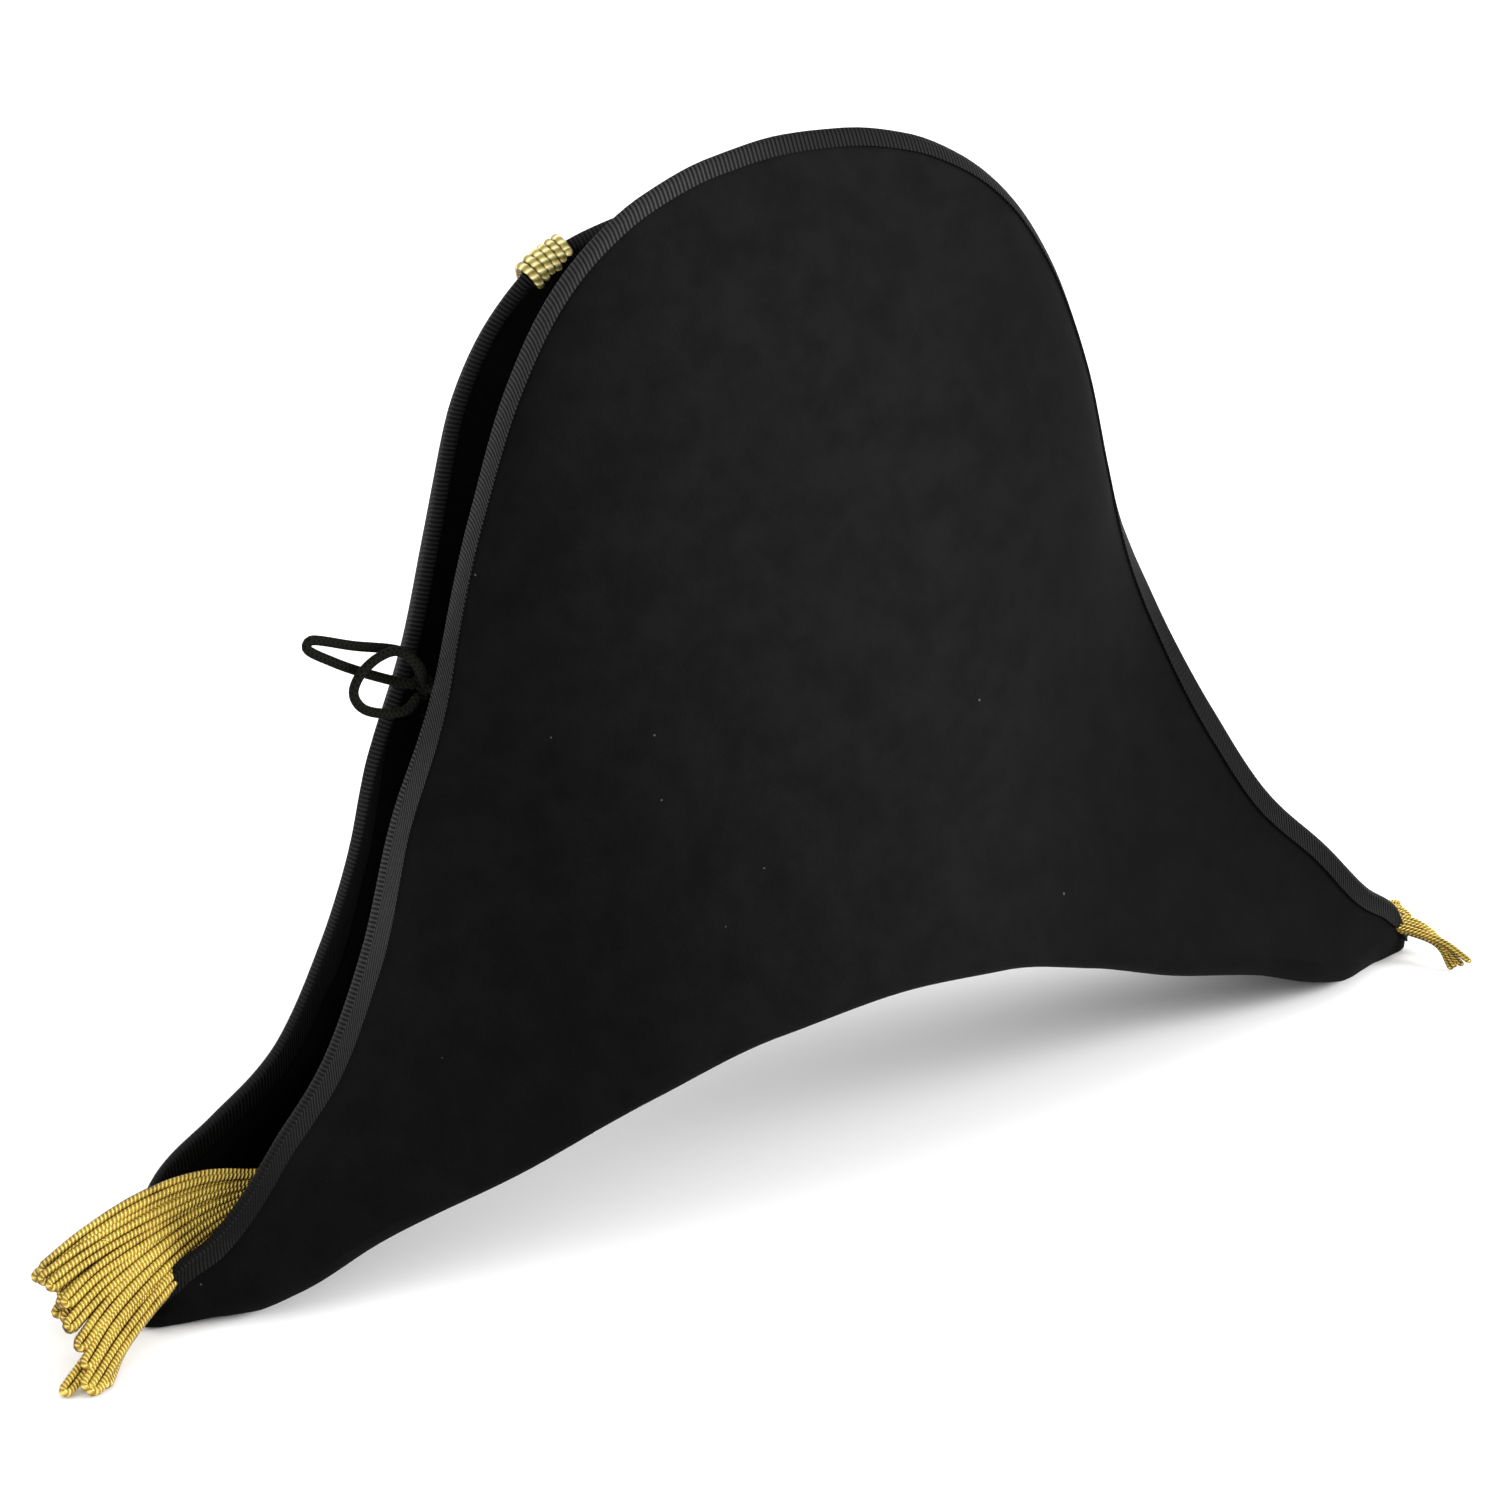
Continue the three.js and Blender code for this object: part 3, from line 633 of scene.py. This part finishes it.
def felt_lint(look):
    """Small specks in some cells of a pattern."""
    cells = look.node("ShaderNodeTexVoronoi", {"Scale": LINT_SCALE})
    look.link(look.node("ShaderNodeTexCoord").outputs["Object"], cells.inputs["Vector"])
    near = look.work_out("LESS_THAN", cells.outputs["Distance"], LINT_SIZE)
    split = look.node("ShaderNodeSeparateColor")
    look.link(cells.outputs["Color"], split.inputs["Color"])
    chosen = look.work_out("GREATER_THAN", split.outputs[0], LINT_LEFT_OUT)
    return look.times(look.times(near, chosen), LINT_STRENGTH)


def felt_material():
    look = Look("felt")
    color = look.mix(felt_lint(look), felt_tone(look), (LINT_GREY, LINT_GREY, LINT_GREY))
    fuzz = look.noise(FUZZ_SCALE, 3, 0.7)
    fibres = look.noise(FIBRE_SCALE, 2, 0.6)
    look.bump((fuzz, FUZZ_DEPTH), (fibres, FIBRE_DEPTH))
    return look.finish(color, {"Roughness": 0.92, "Specular IOR Level": 0.04})


def ribbon_material():
    """Ribs across the ribbon, with a painted sheen that makes it paler to the upper left of the near
    flap.
    """
    look = Look("ribbon")
    rib = look.wave(look.times(look.strand()["X"], FULL_TURN / RIBBON_PITCH))
    thread = look.noise(THREAD_SCALE, 2)
    tone = look.blend((rib, 0.75), (thread, 0.25))
    place = look.place()
    # Painted sheen: the ribbon is paler to the left, higher up and on the near flap
    painted_light = 1
    for axis, start, stop, least in RIBBON_PAINTED_SHEEN:
        painted_light = look.times(look.lifted(look.span(place[axis], start, stop), least), painted_light)
    painted_light = look.lifted(painted_light, RIBBON_LEAST_PAINTED_SHEEN)
    color = look.ramp(look.times(tone, painted_light), RIBBON_GREYS)
    look.bump((rib, RIB_DEPTH), (thread, THREAD_DEPTH))
    return look.finish(color, {"Roughness": 0.65, "Specular IOR Level": 0.1})


def gold_material(name, pitch, turns, tones):
    """Coils round a strand, with painted shade in a groove along both sides where strands lie together.
    """
    look = Look(name)
    strand = look.strand()
    along = look.times(strand["X"], FULL_TURN / pitch)
    coil = look.wave(look.plus(along, look.times(strand["Y"], FULL_TURN * turns)))
    streak = look.noise(STREAK_SCALE, 1)
    tone = look.blend((coil, 0.58), (look.noise(GRAIN_SCALE, 2), 0.2), (streak, 0.4))
    # Painted shade: darker along both sides where strands touch, with full tone on the two sides
    # between them
    facing = look.work_out("ABSOLUTE", look.work_out("COSINE", look.times(strand["Y"], FULL_TURN)))
    uneven = look.times(look.work_out("SUBTRACT", streak, 0.5), 1.3)
    unshaded_side = look.span(look.plus(facing, uneven), 0.05, 0.6)
    tone = look.times(tone, look.lifted(unshaded_side, GROOVE_PAINTED_SHADE))
    color = look.ramp(tone, list(zip((0.1, 0.45, 0.85), tones)))
    look.bump((coil, RIB_DEPTH))
    return look.finish(color, {"Metallic": 0.3, "Roughness": 0.4})


def lace_material():
    """A braid: two twists, one each way."""
    look = Look("lace")
    strand = look.strand()
    along = look.times(strand["X"], FULL_TURN / LACE_PITCH)
    around = look.times(strand["Y"], FULL_TURN * LACE_TURNS)
    twists = [look.work_out("SINE", look.work_out(way, along, around)) for way in ("ADD", "SUBTRACT")]
    braid = look.halved(look.work_out("MAXIMUM", *twists))
    look.bump((braid, BRAID_DEPTH))
    return look.finish(look.ramp(braid, LACE_TONES), {"Roughness": 0.75, "Specular IOR Level": 0.06})


FELT_LOOK = felt_material()
RIBBON_LOOK = ribbon_material()
LACE_LOOK = lace_material()
GOLD_LOOK = gold_material("gold_bullion", 1.3, 2, BULLION_TONES)
LOOP_LOOK = gold_material("gold_loop", 2.2, 1, LOOP_TONES)


# Felt


def build_brim():
    made = Builder()
    inside = np.nonzero(np.abs(X) <= OPEN_X + NEARLY)[0]
    for flap in SIDE:
        outer, inner, _ = GRIDS[flap]
        flip = flap == "front"
        made.grid(outer, flip)
        made.grid(inner, not flip)
        made.grid(np.stack([outer[:, -1], inner[:, -1]]), not flip)
        made.grid(np.stack([outer[inside, 0], inner[inside, 0]]), flip)
        made.grid(np.stack([outer[0], inner[0]]), not flip)
        made.grid(np.stack([outer[-1], inner[-1]]), flip)
    made.make("felt_brim", FELT_LOOK, ["brim"], FELT_ANGLE)


def crown_points(rise, angle):
    spread = crown_spread(rise)
    reach = OPEN_X - SEAM_GAP
    x = reach * spread * np.cos(angle)
    y = (OPEN_Y - SEAM_GAP) * spread * np.sin(angle)
    rim = under_fold("front", reach * np.cos(angle), np.zeros_like(angle))[..., 2]
    z = rim + rise * (float(fold_height(0.0)) + CROWN_HEIGHT - rim)
    room = np.where(y < 0, half_depth("back", x, z), half_depth("front", x, z)) - FELT - CROWN_SPACE
    y = np.where(rise > 0, np.clip(y, -room, room), y)
    return np.stack([x, y, z], -1)


def build_crown():
    made = Builder()
    rise = np.append(np.linspace(0, 0.9, 28), [0.93, 0.96, 0.985, 1])[:, None]
    angle = np.linspace(0, FULL_TURN, CROWN_SIDES + 1)[None]
    outer = crown_points(rise + 0 * angle, angle + 0 * rise)
    outer[:, -1] = outer[:, 0]
    closed = np.concatenate([outer[:, -2:-1], outer, outer[:, 1:2]], axis=1)
    normal = unit(np.cross(np.gradient(closed, axis=1), np.gradient(closed, axis=0)))[:, 1:-1]
    inner = outer - FELT * normal
    inner[0, :, 2] = outer[0, :, 2]
    top = float(fold_height(0.0)) + CROWN_HEIGHT + CROWN_PEAK
    for points, height, flip in ((outer, top, True), (inner, top - FELT, False)):
        peak = np.array([0, 0, height])
        shoulder = 0.5 * points[-1] + 0.5 * peak
        shoulder[:, 2] = 0.2 * points[-1, :, 2] + 0.8 * height
        tip = 0.02 * points[-1] + 0.98 * peak
        made.grid(np.concatenate([points, [shoulder, tip]]), flip)
    made.grid(np.stack([outer[0], inner[0]]), False)
    made.make("felt_crown", FELT_LOOK, ["crown"], FELT_ANGLE)


# Binding


def ribbon_rows(flap):
    """Rows of points along the ribbon: up the outer side, over the edge and down the inner side."""
    thick = SEAM_GAP * 0.4 + BINDING_THICKNESS
    outer, inner, normal = (grid[:, -BINDING_COLUMNS:] for grid in GRIDS[flap])
    tangent = unit(np.gradient(outer[:, -1], axis=0))
    out = unit(np.cross(tangent, normal[:, -1]))
    wrong = np.sum(out * (outer[:, -2] - outer[:, -1]), axis=-1) > 0
    out[wrong] *= -1
    face = outer + normal * thick
    lining = inner - normal * thick
    middle = (outer[:, -1] + inner[:, -1]) / 2
    half = FELT / 2 + thick
    return np.stack(
        [
            outer[:, 0] + normal[:, 0] * RIBBON_LIP,
            *np.moveaxis(face, 1, 0),
            *arc(middle, normal[:, -1] * half, out * (thick + RIBBON_FOLD), (30, 60, 90, 120, 150)),
            *np.moveaxis(lining, 1, 0)[::-1],
            inner[:, 0] - normal[:, 0] * RIBBON_LIP,
        ],
        axis=1,
    )


def build_binding():
    """Both ribbons. Their width is laid out as it is near the middle of the hat."""
    made = Builder()
    sample = len(X) // 2 + 10
    for flap in SIDE:
        rows = ribbon_rows(flap)
        length = run_length(GRIDS[flap][0][:, -1])
        width = run_length(rows[sample])
        uv = np.stack(np.broadcast_arrays(length[:, None], width[None]), -1)
        made.grid(rows, flap == "front", uv)
    made.make("ribbon_binding", RIBBON_LOOK, ["binding_back", "binding_front"])


# Strands and tassels

# Rings of a strand's rounded end: share of its radius, and how far past the end in radii
CAP = ((0.8, 0.55), (0.02, 0.95))
CAP_STEPS = np.array([0.5, 1])
# Seen along this direction, the two halves of a strand lie side by side
STRANDS_FACE = np.array([0.15, 0.6, -0.67])
HEAD_DROP = 4


def route(points, steps):
    """A centripetal curve through points, sampled at equal lengths."""
    p = np.asarray(points, float)
    q = np.concatenate([[2 * p[0] - p[1]], p, [2 * p[-1] - p[-2]]])
    t = np.linspace(0, 1, 24)[:, None]
    line = [p[:1]]
    for i in range(len(p) - 1):
        a, b, c, d = q[i : i + 4]
        t0, t1, t2 = (max(np.linalg.norm(v) ** 0.5, 1e-4) for v in (b - a, c - b, d - c))
        leave = ((b - a) / t0 - (c - a) / (t0 + t1) + (c - b) / t1) * t1
        arrive = ((c - b) / t1 - (d - b) / (t1 + t2) + (d - c) / t2) * t1
        line.append(hermite(t, b, leave, c, arrive)[1:])
    line = np.concatenate(line)
    length = run_length(line)
    even = np.linspace(0, length[-1], steps + 1)
    return np.stack([np.interp(even, length, line[:, k]) for k in range(3)], -1)


def frames(line):
    """At each point of a line: its direction, and two more at right angles that don't twist."""
    ahead = unit(np.gradient(line, axis=0))
    across = np.zeros_like(line)
    guess = np.array([0, 0, 1.0]) if abs(ahead[0][2]) < 0.9 else np.array([1.0, 0, 0])
    across[0] = unit(np.cross(guess, ahead[0]))
    for i in range(1, len(line)):
        side = across[i - 1] - ahead[i] * np.dot(across[i - 1], ahead[i])
        across[i] = side / np.linalg.norm(side)
    return ahead, across, np.cross(ahead, across)


def cap_rings(centre, ahead, ring, radius):
    """Two shrinking rings past the end of a strand, the nearer one first."""
    return [centre + ahead * radius * reach + ring * radius * share for share, reach in CAP]


def tube(made, line, radius, sides, start=0.0, cap=True, phase=0.0):
    """A round strand along line. UVs hold the length in millimetres and the turn round it."""
    line = np.asarray(line, float)
    ahead, across, upward = frames(line)
    angle = np.linspace(0, FULL_TURN, sides + 1)
    turn_across = across[:, None] * np.cos(angle)[None, :, None]
    turn_upward = upward[:, None] * np.sin(angle)[None, :, None]
    ring = turn_across + turn_upward
    points = line[:, None] + ring * radius
    length = start + run_length(line)
    if cap:
        first = cap_rings(line[0], -ahead[0], ring[0], radius)
        last = cap_rings(line[-1], ahead[-1], ring[-1], radius)
        points = np.concatenate([first[::-1], points, last])
        length = np.concatenate([length[0] - CAP_STEPS[::-1], length, length[-1] + CAP_STEPS])
    turn = angle / FULL_TURN - phase
    uv = np.stack(np.broadcast_arrays(length[:, None], turn[None]), -1)
    made.grid(points, True, uv)


def fan_row(table, place):
    at = place * (len(table) - 1)
    return np.array([np.interp(at, np.arange(len(table)), table[:, k]) for k in range(4)])


def tassel_seat():
    """Where a tassel's head sits: its place along the hat, and its height over the fold."""
    root = HALF_LENGTH - TASSEL_INSET
    return root, max(float(fold_height(root)), 0) + FELT + SEAM_GAP + TASSEL_SEAT


def strand_line(end, values, shift, spread):
    """The middle line of a strand from the tassel's head to its end."""
    side, height, reach, lift = values
    root, seat = tassel_seat()
    back = -side * TASSEL_REACH
    start = seat + TASSEL_HEAD * 0.75 * lift
    over = lift * TASSEL_REACH
    bow = (0.2 * lift - 0.15) * TASSEL_REACH
    out = HALF_LENGTH + reach * TASSEL_REACH
    halfway = max((HALF_LENGTH + out) / 2, HALF_LENGTH + 4)
    points = np.array([
        (root, 0, start),
        (root + TASSEL_INSET * 0.45, back * 0.1, (start + over) / 2 + bow),
        (HALF_LENGTH - 5, back * 0.36, over),
        (halfway, back * 0.7, (lift + height) / 2 * TASSEL_REACH),
        (out - 0.6, back, height * TASSEL_REACH),
    ])
    share = np.array([0.5, 0.7, 0.9, 1.0, 1.0])
    points[:, 1] += shift[0] * share
    points[:, 2] += shift[1] * share
    points[-1, 0] += spread
    points[:, 0] *= end
    return points


def looped_strand(made, points, phase, radius):
    """A strand that goes out, turns round at its end and comes back beside itself, off the floor."""
    points[:, 2] = np.maximum(points[:, 2], radius + 0.6)
    line = route(points, 30)
    ahead = unit(np.gradient(line, axis=0))
    sideways = unit(np.cross(ahead, STRANDS_FACE))
    apart = radius * np.clip(np.linspace(0.4, 1.8, len(line)), 0, 1)[:, None]
    right = line + sideways * apart
    left = line - sideways * apart
    bend = arc(line[-1], sideways[-1] * apart[-1], ahead[-1] * apart[-1] * 1.2, (60, 90, 120))
    whole = np.concatenate([right, bend, left[::-1]])
    whole[:, 2] = np.maximum(whole[:, 2], radius + 0.3)
    tube(made, whole, radius, 8, phase=phase)


def tassel_head(made, end):
    root, seat = tassel_seat()
    tilt = np.linspace(-math.pi / 2, math.pi / 2, 25)[:, None]
    angle = np.linspace(0, FULL_TURN, 33)[None]
    half = TASSEL_HEAD / 2
    height = half * 2 * np.sin(tilt)
    x = end * root + half * 1.1 * np.cos(tilt) * np.cos(angle)
    y = half * np.cos(tilt) * np.sin(angle)
    around = np.stack([x, y, seat - HEAD_DROP + height + 0 * angle], -1)
    made.grid(around, True, np.stack(np.broadcast_arrays(height, angle / FULL_TURN), -1))


def build_tassel(name, end, table, layers, under, diameter, seed):
    """A fan of looped strands in layers, each layer behind the one before."""
    made = Builder()
    pick = random.Random(seed)
    tassel_head(made, end)
    # Sets which sides of the strands get the gold's painted groove shade
    phase = (90 + end * 53) / 360
    loose = diameter / STRAND_DIAMETER
    for layer, count in enumerate(layers):
        for k in range(count):
            place = (k + 0.5 * (layer % 2)) / (count - 1) + pick.uniform(-0.12, 0.12) / count
            values = fan_row(table, min(max(place, 0), 1))
            shift = (
                (1.25 * layer + pick.uniform(-0.3, 0.3)) * loose,
                (-1.4 * layer + pick.uniform(-0.35, 0.35)) * loose,
            )
            spread = (pick.uniform(-3.5, 0.5) - 1.5 * layer) * loose**2
            looped_strand(made, strand_line(end, values, shift, spread), phase, diameter / 2)
    for values in under:
        looped_strand(made, strand_line(end, values, (0, 0), 0), phase, diameter / 2)
    made.make(name, GOLD_LOOK, [name])


# Gold loop


def front_place(side, down):
    slope = (edge_height("front", LOOP_PLACE + 4) - edge_height("front", LOOP_PLACE - 4)) / 8
    along = unit(np.array([1.0, -slope]))
    x = -LOOP_PLACE + side * along[0]
    z = edge_height("front", x) - down * along[0]
    x = x + down * along[1]
    return np.array([x, float(half_depth("front", x, z)), float(z)])


def front_normal(side, down):
    across = front_place(side + 2, down) - front_place(side - 2, down)
    downward = front_place(side, down + 4) - front_place(side, down)
    return unit(np.cross(across, downward))


def loop_points(side, outer_end, tuck, radius):
    """The line of one cord: up the front flap and over its edge, to end tuck below it inside."""
    rise = SEAM_GAP + BINDING_THICKNESS + radius + 0.5
    on_felt = radius + 0.1
    points = []
    for down in np.linspace(outer_end, BINDING_WIDTH, 14):
        off_ribbon = min(max((down - BINDING_WIDTH) / BELOW_RIBBON, 0), 1)
        height = rise + (on_felt - rise) * off_ribbon
        points.append(front_place(side, down) + front_normal(side, down) * height)
    normal = front_normal(side, 0)
    edge = front_place(side, 0)
    out = unit(edge - front_place(side, 4))
    middle = edge - normal * FELT / 2
    points += arc(middle, normal * (FELT / 2 + rise), out * (rise + 0.3), (20, 55, 90, 130))
    points.append(front_place(side, tuck) - front_normal(side, tuck) * (FELT + rise))
    return points


def build_loop():
    """Twisted cords side by side, hooked over the front flap's edge."""
    made = Builder()
    pick = random.Random(5)
    radius = LOOP_SEEN / LOOP_CORDS / 2 * 1.06
    for k in range(LOOP_CORDS):
        side = ((k + 0.5) / LOOP_CORDS - 0.5) * LOOP_SEEN + LOOP_SHIFT
        point = LOOP_POINT * abs(k - (LOOP_CORDS - 1) / 2)
        outer_end = LOOP_LENGTH - LOOP_END_GAP - point + pick.uniform(-1, 1)
        tuck = LOOP_TUCK - LOOP_SLANT * side + pick.uniform(-0.6, 0.6)
        line = route(loop_points(side, outer_end, tuck, radius), 90)
        tube(made, line, radius, 10, start=pick.uniform(0, 2))
    made.make("gold_loop", LOOP_LOOK, ["loop_cord"])


# Lace

KNOT = np.array([-KNOT_PLACE, 0, KNOT_HEIGHT], float)


def lace_points(rows):
    points = []
    for i, (out, up, side) in enumerate(rows):
        away = np.array([-out, side, up], float) * LACE_REACH
        if i in (0, len(rows) - 1):
            away = unit(away) * (KNOT_DIAMETER / 2 + SEAM_GAP)
        points.append(KNOT + away)
    return points


def build_lace(name, rows, node_name):
    made = Builder()
    line = route(lace_points(rows), 90)
    tube(made, line, LACE_DIAMETER / 2, 14)
    piece = made.make(name, LACE_LOOK, [node_name])


def knot_bar():
    """A straight stretch of the lace between the flaps, just clear of both."""
    reach = {}
    for flap in SIDE:
        half_gap = HALF_GAP * float(gap_share(KNOT_HEIGHT / HEIGHT[flap]))
        reach[flap] = half_gap - FELT - 2 * SEAM_GAP
    y = np.linspace(-reach["back"], reach["front"], 21)
    return KNOT + np.stack([0 * y, y, 0 * y], -1)


def build_knot():
    made = Builder()
    t = np.linspace(0, FULL_TURN, 61)
    x = -1.3 * np.sin(3 * t)
    y = 0.85 * (np.sin(t) + 2 * np.sin(2 * t))
    z = 0.85 * (np.cos(t) - 2 * np.cos(2 * t))
    tube(made, KNOT + np.stack([x, y, z], -1), LACE_DIAMETER * 0.42, 10, cap=False)
    tube(made, knot_bar(), LACE_DIAMETER * 0.45, 12)
    made.make("lace_tie", LACE_LOOK, ["lace_knot"])


# Camera, light and floor

# The camera's angles in degrees, its distance and aim in metres, and the picture in pixels
CAMERA_TURN = 30
CAMERA_TILT = 23
CAMERA_ROLL = -2.68
CAMERA_DISTANCE = 2.3
CAMERA_AIM = (HAT_PLACE * MM - 0.00834, 0, 0.12663)
PIXELS_PER_MM = 3.331
PICTURE_WIDTH = 1500
SENSOR = 36
FLOOR_HALF = 6.0
FLOOR_DROP = 0.0004
FLOOR_GREY = 0.93
WORLD_STRENGTH = 1.35
# Each light's name, its place, aim and size in metres, and its power in watts
LIGHTS = [
    ("key", (1.75, -1.25, 0.75), (0, 0, 0.14), 0.9, 75),
    ("fill", (-2.0, -0.35, 0.9), (-0.05, 0, 0.15), 0.8, 9),
]


def set_camera():
    azimuth, elevation, roll = (math.radians(a) for a in (CAMERA_TURN, CAMERA_TILT, CAMERA_ROLL))
    back = Vector((
        -math.sin(azimuth) * math.cos(elevation),
        -math.cos(azimuth) * math.cos(elevation),
        math.sin(elevation),
    ))
    right = Vector((math.cos(azimuth), -math.sin(azimuth), 0))
    up = back.cross(right)
    turned_right = right * math.cos(roll) + up * math.sin(roll)
    turned_up = up * math.cos(roll) - right * math.sin(roll)
    data = bpy.data.cameras.new("camera")
    data.sensor_fit = "HORIZONTAL"
    data.sensor_width = SENSOR
    data.lens = PIXELS_PER_MM * CAMERA_DISTANCE / MM / PICTURE_WIDTH * SENSOR
    data.clip_end = 20
    camera = add_object("camera", data)
    place = Matrix((turned_right, turned_up, back)).transposed().to_4x4()
    place.translation = Vector(CAMERA_AIM) + back * CAMERA_DISTANCE
    camera.matrix_world = place
    bpy.context.scene.camera = camera


def add_light(name, place, target, size, energy):
    data = bpy.data.lights.new(name, "AREA")
    data.shape = "SQUARE"
    data.size = size
    data.energy = energy
    light = add_object(name, data)
    light.location = place
    light.rotation_euler = (Vector(target) - Vector(place)).to_track_quat("-Z", "Y").to_euler()


def set_world():
    bpy.context.scene.view_settings.view_transform = "Standard"
    world = bpy.data.worlds.new("studio")
    world.use_nodes = True
    background = world.node_tree.nodes["Background"]
    background.inputs["Color"].default_value = (1, 1, 1, 1)
    background.inputs["Strength"].default_value = WORLD_STRENGTH
    bpy.context.scene.world = world


def set_floor():
    mesh = bpy.data.meshes.new("floor")
    corners = [(-1, -1), (1, -1), (1, 1), (-1, 1)]
    mesh.from_pydata([(x * FLOOR_HALF, y * FLOOR_HALF, 0) for x, y in corners], [], [(0, 1, 2, 3)])
    floor = add_object("floor", mesh)
    look = Look("floor_paper")
    look.shader.inputs["Base Color"].default_value = (FLOOR_GREY, FLOOR_GREY, FLOOR_GREY, 1)
    look.shader.inputs["Roughness"].default_value = 0.9
    look.shader.inputs["Specular IOR Level"].default_value = 0.1
    mesh.materials.append(look.material)
    floor.location.z = -FLOOR_DROP


def set_stage():
    set_world()
    for light in LIGHTS:
        add_light(*light)
    set_floor()


set_camera()
build_lace("lace_loop_long", LONG_LOOP, "lace_long_loop")
build_lace("lace_loop_short", SHORT_LOOP, "lace_short_loop")
build_knot()
build_brim()
build_crown()
build_binding()
build_loop()
build_tassel("tassel_left", -1, LEFT_FAN, [9, 8, 8], [LONG_STRAND, *LEFT_UNDER], STRAND_DIAMETER, 3)
build_tassel("tassel_right", 1, RIGHT_FAN, [6, 5], [], THIN_STRAND, 4)
set_stage()
